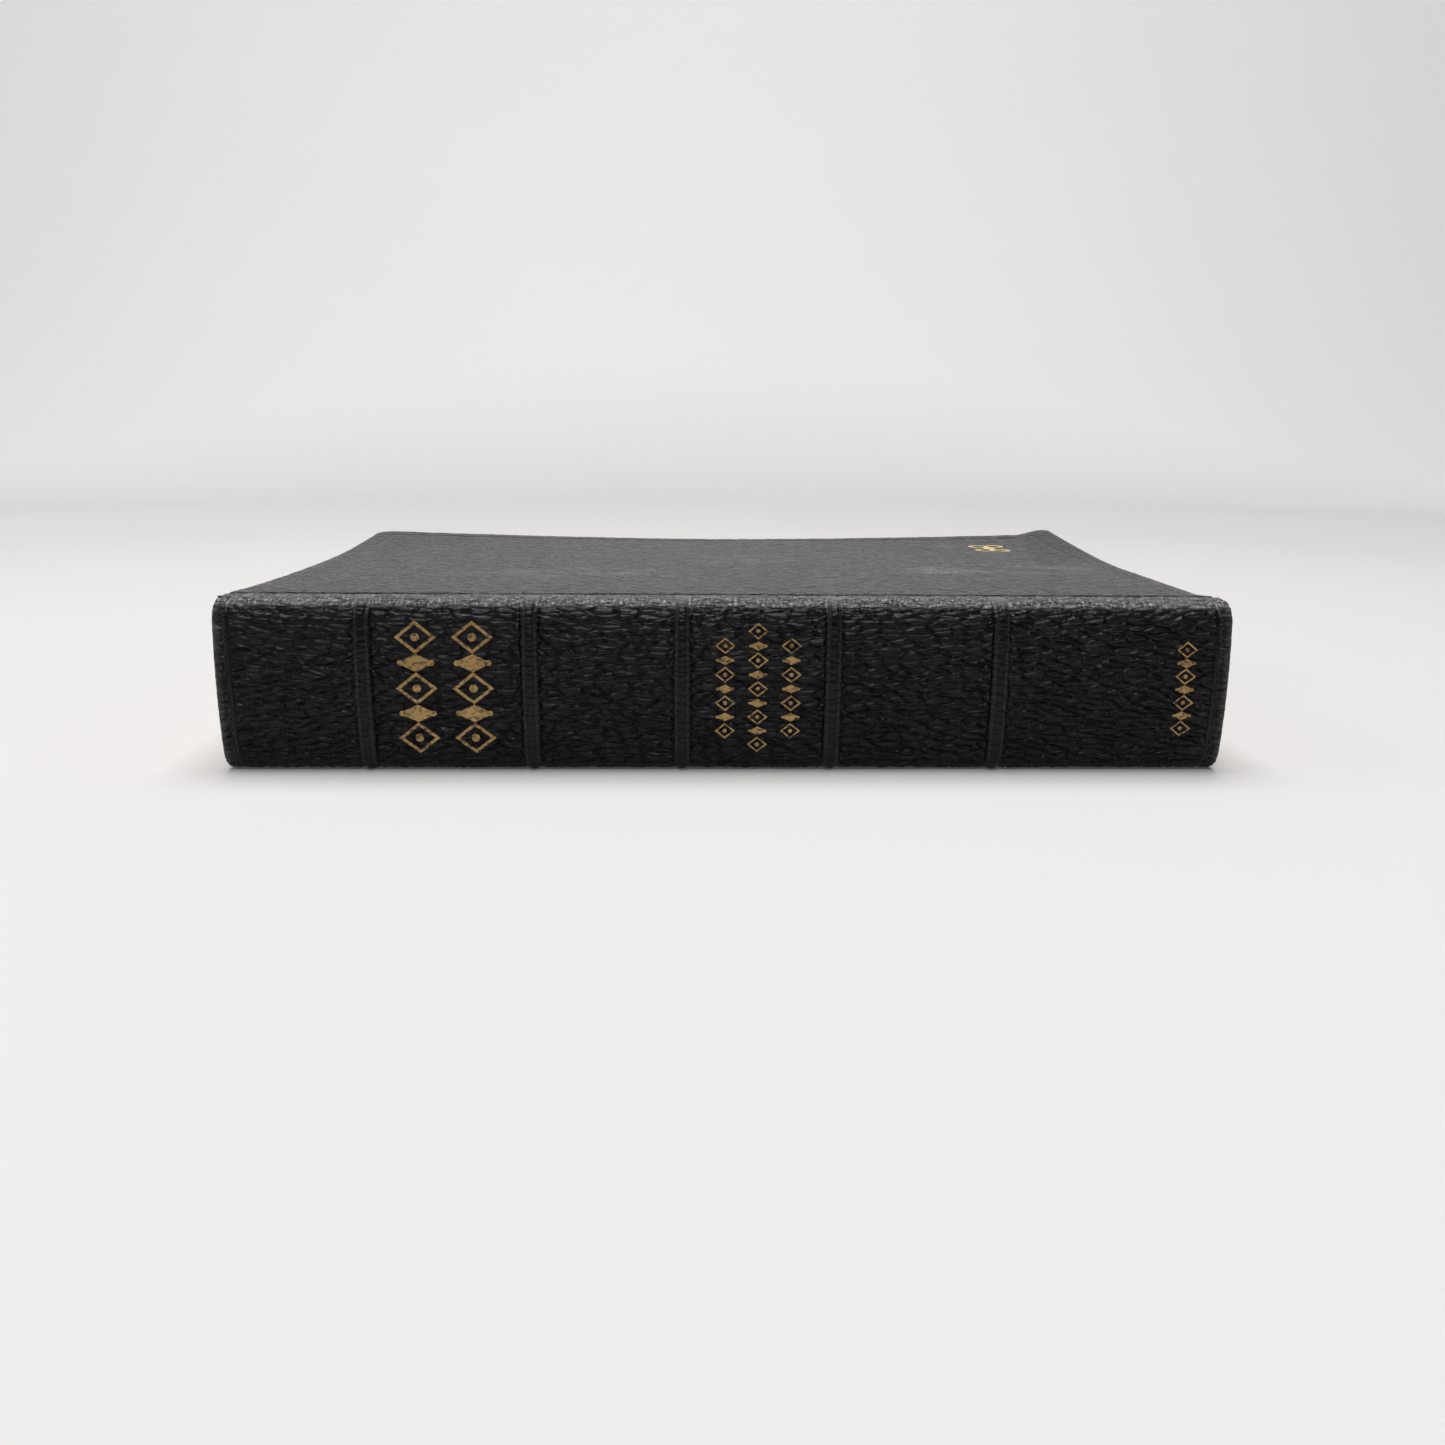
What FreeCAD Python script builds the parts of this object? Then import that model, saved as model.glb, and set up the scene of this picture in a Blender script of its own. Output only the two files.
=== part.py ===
import FreeCAD, Part
import math
import os

# A leather Bible lying closed on its back cover, in millimetres.
# X runs along the spine from head (-X) to tail (+X), Y from the spine to the fore-edge, Z up.
# Everything is drawn for the back half, and the front half is its mirror image about mid-thickness.
# Y is measured from the shoulder line of the spine; send_out() then centres the whole book on Y = 0.

Vec = FreeCAD.Vector

# overall sizes
book_height = 210.0        # head to tail, along the spine
cover_width = 136.5        # spine shoulder to fore-edge
book_thickness = 36.3      # outside of back cover to outside of front cover

# spine form
shoulder_radius = 5.0      # round that turns the spine into the covers
shoulder_centre = 0.3      # where that round ends on the cover face
spine_turn_deg = 7.0       # half the turn of the gentle arc across the back
joint_line = 2.5           # crease along which each cover hinges

# leather case
leather = 0.8
board_thickness = 1.2
pared_leather = 0.3        # leather thinned where it turns in, and the paper level with it
turn_in_width = 12.0
board_edge_leather = 1.0   # leather folded round the edges of the board
board_setback = 3.0        # flexible strip between the joint line and the board
cover_corner_radius = 5.0
cover_edge_bevel = 0.35

# raised bands, seen as smooth ridges across the back
band_width = 2.7
band_height = 0.5
band_crown = 0.45          # bevel along both edges of a ridge
band_root = 0.9            # how deep a ridge is rooted, as a share of the leather
band_sink = 0.6            # height left half way round the shoulder, as a share of the band
band_core_width = 1.5
band_core_height = 0.4
head_panel = 30.0          # head to the middle of the first band
second_panel = 34.2        # from band to band
third_panel = 31.3
fourth_panel = 31.4
fifth_panel = 34.8

# text block
square = 3.5               # how far the covers stand past the leaves
sections_per_half = 10
fore_edge_hollow = 2.5
page_corner_radius = 6.0
lining = 0.35              # paper lining on the spine
mull = 0.25                # open cloth glued to the folds
mull_short = 5.0           # the cloth stops this far from head and tail
endpaper = 0.3
fold_depth = 0.11          # how far each fold stands out between its neighbours
shoulder_slope = 0.8       # run of the slope that backs the shoulder
section_fan = 0.8          # each section starts to bend this much further in than the last
shadow_gap = 0.05          # air left between leaves that turn apart

# sewing
cord_width = 1.2
cord_depth = 0.7
thread_width = 0.8
thread_depth = 0.4
kettle_inset = 10.0        # kettle stitches, from each end of the leaves

# turning leaves between the halves
leaf_count = 4
leaf_thickness = 0.3

# head and tail of the spine
endband_depth = 2.0
endband_gap = 0.1
endband_round = 0.6
cap_thickness = 0.9
cap_depth = 3.2

same_place = 0.001         # edges closer than this are the same edge

# sizes that follow
cover_thickness = leather + board_thickness + pared_leather
half = book_thickness / 2
half_height = book_height / 2
leaf_height = book_height - 2 * square
spine_layers = leather + lining + mull
leaves_half = leaf_count * leaf_thickness / 2 + shadow_gap
block_floor = cover_thickness + endpaper
block_fore = cover_width - square
corner_turn = math.radians(90 - spine_turn_deg)
back_rise = half - shoulder_radius
back_radius = shoulder_radius + back_rise / math.sin(math.radians(spine_turn_deg))
back_centre = shoulder_centre + (back_radius - shoulder_radius) * math.cos(math.radians(spine_turn_deg))
spine_depth = back_radius - back_centre
second_band = head_panel + second_panel
third_band = second_band + third_panel
fourth_band = third_band + fourth_panel
band_stations = (head_panel, second_band, third_band, fourth_band, fourth_band + fifth_panel)
knuckle_run = (shoulder_radius - spine_layers) * corner_turn
origin_shift = (cover_width - spine_depth - band_height) / 2

os.makedirs("parts", exist_ok=True)


def send_out(name, shape):
    """Write one node, centred across the book."""
    shape = shape.copy()
    shape.translate(Vec(0, -origin_shift, 0))
    shape.exportStep("parts/" + name + ".step")


def to_front(shape):
    """The front half's twin of a piece of the back half."""
    return shape.mirror(Vec(0, 0, half), Vec(0, 0, 1))


def group(solids):
    """Several solids in one node."""
    return Part.makeCompound(solids)


def at(y, z, x=0.0):
    return Vec(x, y, z)


def extrude(wire, low, high):
    """A section in the YZ plane, run along the spine from low to high."""
    face = Part.Face(wire)
    face.translate(Vec(low, 0, 0))
    return face.extrude(Vec(high - low, 0, 0))


def on_back(inset, run):
    """The point a run along the back outline, at an inset from the leather's outside.

    The run starts under the shoulder and is measured on the outline of the folds.
    """
    if run <= knuckle_run:
        turn = run / (shoulder_radius - spine_layers)
        radius = shoulder_radius - inset
        return at(shoulder_centre - radius * math.sin(turn), shoulder_radius - radius * math.cos(turn))
    turn = corner_turn + (run - knuckle_run) / (back_radius - spine_layers)
    radius = back_radius - inset
    return at(back_centre - radius * math.sin(turn), half - radius * math.cos(turn))


def run_to_height(height):
    """How far along the outline of the folds a height lies."""
    radius = back_radius - spine_layers
    turn = math.acos((half - height) / radius) - corner_turn
    return knuckle_run + turn * radius


def back_edges(inset, end_height):
    """Edges of the back outline at an inset, from the joint line to a height."""
    end_run = run_to_height(end_height)
    under = on_back(inset, 0)
    knuckle = on_back(inset, knuckle_run)
    top = on_back(inset, end_run)
    flat = Part.LineSegment(at(joint_line, under.z), under).toShape()
    corner = Part.Arc(under, on_back(inset, knuckle_run / 2), knuckle).toShape()
    gentle = Part.Arc(knuckle, on_back(inset, (knuckle_run + end_run) / 2), top).toShape()
    return [flat, corner, gentle]


def layer_between(outside, inside, low, high):
    """A layer between two outlines of the back, closed at both of their ends."""
    start = Part.LineSegment(outside[0].Vertexes[0].Point, inside[0].Vertexes[0].Point).toShape()
    end = Part.LineSegment(outside[-1].Vertexes[-1].Point, inside[-1].Vertexes[-1].Point).toShape()
    wire = Part.Wire(Part.__sortEdges__(outside + inside + [start, end]))
    return extrude(wire, low, high)


def back_layer(outer, inner, low, high):
    """A layer that wraps the back and its shoulder between two insets, for the back half."""
    return layer_between(back_edges(outer, half), back_edges(inner, half), low, high)


def slab(low_y, high_y, length, low_z, high_z, corner):
    """A flat sheet with its two fore-edge corners rounded."""
    sheet = Part.makeBox(length, high_y - low_y, high_z - low_z, Vec(-length / 2, low_y, low_z))
    upright = [
        edge
        for edge in sheet.Edges
        if abs(edge.Vertexes[0].Z - edge.Vertexes[1].Z) > 0 and edge.CenterOfMass.y > high_y - same_place
    ]
    return sheet.makeFillet(corner, upright)


# ---------------------------------------------------------------- covers


def cover_leather():
    """Leather over the board, folded round three edges and turned in."""
    skin = slab(joint_line, cover_width, book_height, 0, cover_thickness, cover_corner_radius)
    outer_rim = [
        edge
        for edge in skin.Edges
        if edge.BoundBox.ZMax < same_place and edge.CenterOfMass.y > joint_line + same_place
    ]
    skin = skin.makeChamfer(cover_edge_bevel, outer_rim)
    return skin.cut(board_pocket()).cut(pastedown_space())


def board_pocket():
    """Room for the board and for the open joint beside it."""
    length = book_height - 2 * board_edge_leather
    pocket = slab(
        joint_line,
        cover_width - board_edge_leather,
        length,
        leather,
        leather + board_thickness,
        cover_corner_radius - board_edge_leather,
    )
    return pocket


def cover_board():
    """The board, set back from the joint line."""
    return slab(
        joint_line + board_setback,
        cover_width - board_edge_leather,
        book_height - 2 * board_edge_leather,
        leather,
        leather + board_thickness,
        cover_corner_radius - board_edge_leather,
    )


def pastedown_space():
    """The window that the turn-ins leave, filled by the pasted-down endpaper."""
    return slab(
        joint_line,
        cover_width - turn_in_width,
        book_height - 2 * turn_in_width,
        cover_thickness - pared_leather,
        cover_thickness,
        pared_leather,
    )


def free_endpaper():
    """The free half of the folded endpaper, lying on the outer section."""
    return slab(joint_line, block_fore, leaf_height, cover_thickness, block_floor, page_corner_radius)


# ---------------------------------------------------------------- spine


def centred(station):
    """Position along X of a distance from the head."""
    return station - half_height


def ridge_edges():
    """Outline of a ridge: level over the back, then sinking into the leather at the shoulder."""
    knuckle = on_back(-band_height, knuckle_run)
    top_run = run_to_height(half)
    level = Part.Arc(
        on_back(-band_height, top_run),
        on_back(-band_height, (knuckle_run + top_run) / 2),
        knuckle,
    )
    sinking = Part.Arc(knuckle, on_back(-band_height * band_sink, knuckle_run / 2), on_back(0, 0))
    return [level.toShape(), sinking.toShape()]


def band_ridge(station):
    """One raised ridge of leather, rounded along both edges."""
    low = centred(station) - band_width / 2
    outer = ridge_edges()
    inner = back_edges(leather * band_root, half)[1:]
    ends = [
        Part.LineSegment(on_back(0, 0), on_back(leather * band_root, 0)).toShape(),
        Part.LineSegment(outer[0].Vertexes[0].Point, inner[-1].Vertexes[-1].Point).toShape(),
    ]
    wire = Part.Wire(Part.__sortEdges__(outer + inner + ends))
    ridge = extrude(wire, low, low + band_width)
    crown = [
        edge
        for edge in ridge.Edges
        for line in outer
        for side in (low, low + band_width)
        if (edge.CenterOfMass - line.CenterOfMass - Vec(side, 0, 0)).Length < same_place
    ]
    return ridge.makeChamfer(band_crown, crown)


def band_cores():
    """Strips under the leather that raise the bands. They stop where the shoulder starts to turn."""
    cores = []
    for station in band_stations:
        low = centred(station) - band_core_width / 2
        outside = back_edges(leather - band_core_height, half)[-1:]
        inside = back_edges(leather, half)[-1:]
        cores.append(layer_between(outside, inside, low, low + band_core_width))
    return group(cores)


def end_cap(side):
    """Leather turned in and shaped over the end of the spine: side is -1 at the head, 1 at the tail."""
    outer = side * half_height
    inner = side * (half_height - cap_thickness)
    cap = back_layer(0, cap_depth, min(outer, inner), max(outer, inner))
    block_end = side * (half_height - square)
    tuck = back_layer(leather, spine_layers, min(block_end, outer), max(block_end, outer))
    return cap.fuse(tuck)


def spine_leather():
    """Leather of the back, with its ridges, end caps and the channels of the band cores."""
    skin = back_layer(0, leather, -half_height, half_height)
    raised = [band_ridge(station) for station in band_stations]
    skin = skin.fuse(raised + [end_cap(-1), end_cap(1)]).removeSplitter()
    inside = back_layer(leather, leather * 2, centred(square), centred(book_height - square))
    return skin.cut([inside, band_cores()])


def endband(side):
    """Worked band on the end of the leaves, against the back."""
    block_end = side * leaf_height / 2
    tip = side * (half_height - cap_thickness - endband_gap)
    band = back_layer(spine_layers, spine_layers + endband_depth, min(block_end, tip), max(block_end, tip))
    inner_lip = [
        edge
        for edge in band.Edges
        if abs(edge.CenterOfMass.x - tip) < same_place and edge.Length > endband_depth * 1.5
    ]
    return band, inner_lip


# ---------------------------------------------------------------- text block


def across_back(stations, width, outer, inner):
    """Narrow strips across the back between two insets, one at each station from the head."""
    strips = []
    for station in stations:
        low = centred(station) - width / 2
        strips.append(back_layer(outer, inner, low, low + width))
    return group(strips)


def kettle_stations():
    return (square + kettle_inset, book_height - square - kettle_inset)


def sewing_cords():
    """Cords let into the folds, one under each band."""
    return across_back(band_stations, cord_width, spine_layers, spine_layers + cord_depth)


def kettle_stitches():
    """Linked stitches near head and tail that tie each section to the next."""
    return across_back(kettle_stations(), thread_width, spine_layers, spine_layers + thread_depth)


def sawn_grooves():
    """Grooves across the folds that take the cords and the kettle stitches, open towards the back."""
    return [
        across_back(band_stations, cord_width, leather, spine_layers + cord_depth),
        across_back(kettle_stations(), thread_width, leather, spine_layers + thread_depth),
    ]


def section_levels():
    """Heights of the section faces where the block is flat."""
    rise = (half - leaves_half - block_floor) / sections_per_half
    return [block_floor + rise * k for k in range(sections_per_half + 1)]


def section_runs():
    """Where each pair of folds meets, as runs along the back outline."""
    whole = run_to_height(half - leaves_half)
    return [whole * k / sections_per_half for k in range(sections_per_half + 1)]


def fore_edge_at(level):
    """The fore-edge is hollow, as the back is round."""
    share = (half - level) / (half - block_floor)
    return block_fore - fore_edge_hollow * (1 - share * share)


def section(number):
    """One folded section: flat leaves that fan out to a round fold at the back."""
    levels = section_levels()
    runs = section_runs()
    low, high = levels[number], levels[number + 1]
    fold_inset = spine_layers + fold_depth
    low_fold = on_back(fold_inset, runs[number])
    high_fold = on_back(fold_inset, runs[number + 1])
    crown = on_back(spine_layers, (runs[number] + runs[number + 1]) / 2)
    fore = fore_edge_at((low + high) / 2)
    outline = [at(fore, low), at(joint_line + section_fan * number, low)]
    if number == 0:
        outline += [at(joint_line - shoulder_slope, low_fold.z)]
    outline += [low_fold]
    after = [high_fold, at(joint_line + section_fan * (number + 1), high), at(fore, high), at(fore, low)]
    edges = [Part.LineSegment(a, b).toShape() for a, b in zip(outline, outline[1:])]
    edges += [Part.Arc(low_fold, crown, high_fold).toShape()]
    edges += [Part.LineSegment(a, b).toShape() for a, b in zip(after, after[1:])]
    body = extrude(Part.Wire(edges), -leaf_height / 2, leaf_height / 2)
    corners = [
        edge
        for edge in body.Edges
        if edge.CenterOfMass.y > fore - same_place and edge.Length < (high - low) * 1.5
    ]
    return body.makeFillet(page_corner_radius, corners)


def turning_leaf(number):
    """A few thin leaves that turn as one, in the middle of the book."""
    low = half + (number - leaf_count / 2) * leaf_thickness
    back = shadow_gap - spine_depth + spine_layers + cord_depth
    return slab(
        back,
        fore_edge_at(half),
        leaf_height,
        low + shadow_gap / 2,
        low + leaf_thickness - shadow_gap / 2,
        page_corner_radius,
    )


def send_pair(name, shape):
    """Write a piece of the back half and its twin on the front half."""
    send_out("back_" + name, shape)
    send_out("front_" + name, to_front(shape))


def build():
    send_pair("cover_leather", cover_leather())
    send_pair("cover_board", cover_board())
    send_pair("pastedown", pastedown_space())
    send_pair("free_endpaper", free_endpaper())

    send_pair("spine_leather", spine_leather())
    send_pair("band_cores", band_cores())
    leaves_end = leaf_height / 2
    send_pair("spine_lining", back_layer(leather, leather + lining, -leaves_end, leaves_end))
    mull_end = leaves_end - mull_short
    send_pair("mull", back_layer(leather + lining, spine_layers, -mull_end, mull_end))
    send_pair("sewing_cords", sewing_cords())
    send_pair("kettle_stitches", kettle_stitches())
    for side, name in ((-1, "head_band"), (1, "tail_band")):
        band, lip = endband(side)
        send_pair(name, band.makeChamfer(endband_round, lip))

    grooves = sawn_grooves()
    for number in range(sections_per_half):
        body = section(number).cut(grooves)
        send_out("section_%02d" % (2 * sections_per_half - number), body)
        send_out("section_%02d" % (number + 1), to_front(body))
    for number in range(leaf_count):
        send_out("turning_leaf_%d" % (number + 1), turning_leaf(number))


build()
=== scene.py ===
import math

import bmesh
import bpy
from mathutils import Matrix, Vector, noise


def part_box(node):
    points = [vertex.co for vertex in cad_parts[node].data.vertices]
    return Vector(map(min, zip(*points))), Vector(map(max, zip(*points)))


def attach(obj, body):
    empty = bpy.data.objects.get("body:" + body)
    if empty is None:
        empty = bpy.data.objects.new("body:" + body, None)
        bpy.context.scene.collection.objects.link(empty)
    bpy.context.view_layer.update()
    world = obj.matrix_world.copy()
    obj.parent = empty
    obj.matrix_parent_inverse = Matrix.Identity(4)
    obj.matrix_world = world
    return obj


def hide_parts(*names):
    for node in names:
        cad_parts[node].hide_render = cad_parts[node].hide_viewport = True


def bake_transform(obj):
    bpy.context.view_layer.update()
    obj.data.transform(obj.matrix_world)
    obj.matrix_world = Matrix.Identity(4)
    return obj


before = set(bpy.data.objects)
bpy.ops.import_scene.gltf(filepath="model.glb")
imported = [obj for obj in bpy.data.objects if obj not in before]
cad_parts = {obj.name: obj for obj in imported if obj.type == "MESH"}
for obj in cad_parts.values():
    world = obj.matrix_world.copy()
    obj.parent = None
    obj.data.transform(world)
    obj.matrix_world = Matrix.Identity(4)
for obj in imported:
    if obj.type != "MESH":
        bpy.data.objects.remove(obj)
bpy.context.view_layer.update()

# The grain wanders in the same way on each run.
noise.seed_set(11)

# ---------------------------------------------------------------------------
# Sizes of the binding, in millimetres. X runs from head to tail, Y from the
# spine to the fore-edge and Z up, from the back cover to the front cover. A
# run is a way over the leather from the middle of the back, positive to the
# front cover.
# ---------------------------------------------------------------------------
MM = 0.001
HALF_HEIGHT = 105.0
THICKNESS = 36.3
MID_LEVEL = THICKNESS / 2
BACK_RADIUS = 112.9
BACK_CENTRE_Y = 42.15
SHOULDER_RADIUS = 5.0
SHOULDER_Y = -64.95
SPINE_TURN = math.radians(7.0)
BACK_RUN = BACK_RADIUS * SPINE_TURN
TOP_RUN = BACK_RUN + SHOULDER_RADIUS * (math.pi / 2 - SPINE_TURN)
FORE_EDGE_Y = 71.25
JOINT_Y = -62.75
COVER_CORNER = 5.0
COVER_THICKNESS = 2.3
COVER_RUN = FORE_EDGE_Y - SHOULDER_Y
SPINE_LEATHER = 0.8
CAP_ROUND = 0.8
CAP_DEPTH = 2.4
CAP_LEATHER = 0.9
PASTEDOWN = 0.3
TURN_IN = 12.0
PAGE_CORNER = 6.0

# Bands, and the lines pressed with a hot tool: at the ends of the back, along
# the rim of each cover and in the crease of each joint.
BANDS = (-75.0, -40.8, -9.5, 21.9, 56.7)
BAND_HALF = 1.35
BAND_GROOVE = BAND_HALF + 0.3
END_LINE = 101.9
COVER_LINE = 5.7
CREASE_RUN = TOP_RUN + 5.6

# Heights and depths of the leather's surface.
BAND_HEIGHT = 0.5
BACK_GRAIN = 0.34
SHOULDER_GRAIN = 0.36
SHOULDER_PUCKER = 0.16
COVER_GRAIN = 0.13
GRAIN_LEVEL = 0.66
BAND_GROOVE_DEPTH = 0.18
END_LINE_DEPTH = 0.20
COVER_LINE_DEPTH = 0.22
CREASE_DEPTH = 0.45
CREASE_EDGE_DEPTH = 0.12

# The used front cover: where it begins, its width, and how far it leaves flat.
COVER_START_Y = -65.25
COVER_WIDTH = 136.5
MIDDLE_CURL = 0.25
CORNER_CURL = 2.1
TAIL_CURL = 4.0
TAIL_SAG = 0.9
HEAD_SAG = 0.85

# How rubbed the leather is, with painted light in the same grey: the joint strips (the front one
# also a painted highlight), the band edges (painted highlight lines), the ends of the back, a
# painted sheen over the front cover, the rims, and patches of the front cover with their middles,
# half lengths, half widths and wear.
FRONT_STRIP_WEAR_AND_HIGHLIGHT = 0.88
BACK_STRIP_WEAR = 0.3
BAND_EDGE_HIGHLIGHT = 0.16
END_WEAR = 0.2
COVER_SHEEN_TONE = 0.26
RIM_WEAR = 0.45
WORN_PATCHES = (
    (-36, -18, 34, 15, 1.35),
    (66, -8, 38, 14, 1.35),
    (8, 10, 44, 20, 0.85),
    (66, 44, 30, 14, 0.7),
)

# Steps between the rows of points in the moulded leather.
BACK_STEP = 0.36
BACK_STEP_ACROSS = 0.56
JOINT_STEP = 0.5
COVER_STEP = 1.0
COVER_STEP_ACROSS = 0.85
RIM_ROUND = 0.75


# ---------------------------------------------------------------------------
# Small helpers
# ---------------------------------------------------------------------------
def ease(low, high, value):
    """0 below low, 1 above high, and smooth between."""
    t = min(1.0, max(0.0, (value - low) / (high - low)))
    return t * t * (3 - 2 * t)


def line_at(value, centre, half):
    """1 on a tooled line's middle, fading to 0 at half a width either side."""
    return 1 - ease(half * 0.3, half, abs(value - centre))


def clear_selection():
    if bpy.context.object and bpy.context.object.mode != "OBJECT":
        bpy.ops.object.mode_set(mode="OBJECT")
    bpy.ops.object.select_all(action="DESELECT")


def pick(piece):
    clear_selection()
    piece.select_set(True)
    bpy.context.view_layer.objects.active = piece


def freeze(piece):
    """Puts the piece's place into its mesh."""
    pick(piece)
    bpy.ops.object.transform_apply(location=True, rotation=True, scale=True)
    return piece


def finish_modifiers(piece):
    pick(piece)
    for modifier in list(piece.modifiers):
        bpy.ops.object.modifier_apply(modifier=modifier.name)
    return piece


def smooth(piece, degrees):
    pick(piece)
    bpy.ops.object.shade_smooth_by_angle(angle=math.radians(degrees))
    return piece


def close_shell(piece, turn_outwards=False):
    """Merges the seam of a sheet that is rolled up, and closes its ends."""
    pick(piece)
    bpy.ops.object.mode_set(mode="EDIT")
    bpy.ops.mesh.select_all(action="SELECT")
    bpy.ops.mesh.remove_doubles(threshold=1e-6)
    bpy.ops.mesh.select_all(action="DESELECT")
    bpy.ops.mesh.select_non_manifold(extend=False)
    bpy.ops.mesh.fill_holes(sides=0)
    if turn_outwards:
        bpy.ops.mesh.select_all(action="SELECT")
        bpy.ops.mesh.normals_make_consistent(inside=False)
    bpy.ops.object.mode_set(mode="OBJECT")


def stations(start, end, step, details=()):
    """Places of a sheet's rows: even steps, closer at the details (centre, half width, step)."""
    count = round((end - start) / step)
    rows = [start + (end - start) * i / count for i in range(count + 1)]
    for centre, half, close in details:
        beside = half + close * 0.5
        rows = [r for r in rows if abs(r - centre) > beside or r in (rows[0], rows[-1])]
        count = round(2 * half / close)
        rows += [centre - half + 2 * half * i / count for i in range(count + 1)]
    rows = sorted(r for r in rows if start <= r <= end)
    kept = [rows[0]]
    for r in rows[1:]:
        if r - kept[-1] > step * 0.12:
            kept.append(r)
    kept[-1] = end
    return kept


# ---------------------------------------------------------------------------
# The leather's surface: place, relief, and rubbing with painted sheen and highlights
# ---------------------------------------------------------------------------
def round_back(run):
    """Place and outward direction of the plain case at a run."""
    side = 1 if run >= 0 else -1
    far = abs(run)
    if far <= BACK_RUN:
        angle = far / BACK_RADIUS
        y = BACK_CENTRE_Y - BACK_RADIUS * math.cos(angle)
        z = BACK_RADIUS * math.sin(angle)
    elif far <= TOP_RUN:
        angle = SPINE_TURN + (far - BACK_RUN) / SHOULDER_RADIUS
        y = SHOULDER_Y - SHOULDER_RADIUS * math.cos(angle)
        z = THICKNESS / 2 - SHOULDER_RADIUS + SHOULDER_RADIUS * math.sin(angle)
    else:
        angle = math.pi / 2
        y, z = SHOULDER_Y + far - TOP_RUN, THICKNESS / 2
    outward = Vector((0, -math.cos(angle), side * math.sin(angle)))
    return Vector((0, y, MID_LEVEL + side * z)), outward


def pebbles(x, run, long, wide, seed):
    """Leather grain: 1 on a pebble, 0 in the crease between two."""
    wander = noise.noise_vector(Vector((x * 0.23, run * 0.31, seed)))
    spot = Vector((x / long + 0.55 * wander.x, run / wide + 0.55 * wander.y, seed))
    near, next_near = noise.voronoi(spot)[0][:2]
    return math.sqrt(min(1.0, (next_near - near) / 0.62))


def band_place(x, far):
    """Nearest raised band: how far off its middle, and how much is left on the shoulder."""
    off = min(abs(x - band) for band in BANDS)
    return off, 1 - ease(TOP_RUN - 3.2, TOP_RUN - 0.4, far)


def from_rim(x, far):
    """How far a spot of a cover is from the nearest edge of the cover."""
    return min(HALF_HEIGHT - abs(x), COVER_RUN + TOP_RUN - far)


def tooled(x, run):
    """How far a hot tool has smoothed the grain: most on the bands and in the pressed lines."""
    far = abs(run)
    off, _ = band_place(x, far)
    smoothed = 0.8 * (1 - ease(BAND_GROOVE, BAND_HALF + 0.8, off))
    smoothed *= 1 - ease(CREASE_RUN - 1.5, CREASE_RUN, far)
    if far < TOP_RUN + 1:
        return max(smoothed, line_at(abs(x), END_LINE, 0.7))
    in_cover_line = line_at(from_rim(x, far), COVER_LINE, 0.8)
    return max(smoothed, in_cover_line, line_at(far, CREASE_RUN, 0.9))


def relief(x, run):
    """Height of the leather over its plain surface, in millimetres."""
    far = abs(run)
    off, band_left = band_place(x, far)
    on_back = 1 - ease(TOP_RUN - 5.5, TOP_RUN - 2.5, far)
    on_shoulder = ease(TOP_RUN - 6.5, TOP_RUN - 4.5, far)
    on_shoulder *= 1 - ease(CREASE_RUN - 2.5, CREASE_RUN - 0.3, far)
    on_cover = ease(TOP_RUN + 3.0, TOP_RUN + 6.0, far)
    plump = 0.75 + 0.5 * noise.noise(Vector((x * 0.05, run * 0.09, 4.2)))
    pucker = noise.noise(Vector((x * 1.1, run * 1.3, 2.9)))
    height = on_back * plump * BACK_GRAIN * (pebbles(x, run, 5.0, 2.2, 1.7) - GRAIN_LEVEL)
    height += on_shoulder * SHOULDER_GRAIN * (pebbles(x, run, 1.6, 1.1, 5.3) - GRAIN_LEVEL)
    height += on_shoulder * SHOULDER_PUCKER * pucker
    height += on_cover * COVER_GRAIN * (pebbles(x, run, 3.6, 1.9, 9.9) - GRAIN_LEVEL)
    height *= 1 - tooled(x, run)
    before_crease = 1 - ease(CREASE_RUN - 1.5, CREASE_RUN, far)
    height += BAND_HEIGHT * band_left * (1 - ease(0.62, 1.12, off))
    height -= BAND_GROOVE_DEPTH * before_crease * line_at(off, BAND_GROOVE, 0.42)
    if far < TOP_RUN + 1:
        height -= END_LINE_DEPTH * line_at(abs(x), END_LINE, 0.45)
    elif far > CREASE_RUN - 1:
        height -= COVER_LINE_DEPTH * line_at(from_rim(x, far), COVER_LINE, 0.6)
    height -= CREASE_DEPTH * line_at(far, CREASE_RUN, 0.9)
    height -= CREASE_EDGE_DEPTH * line_at(far, CREASE_RUN - 1.5, 0.5)
    return height


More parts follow.
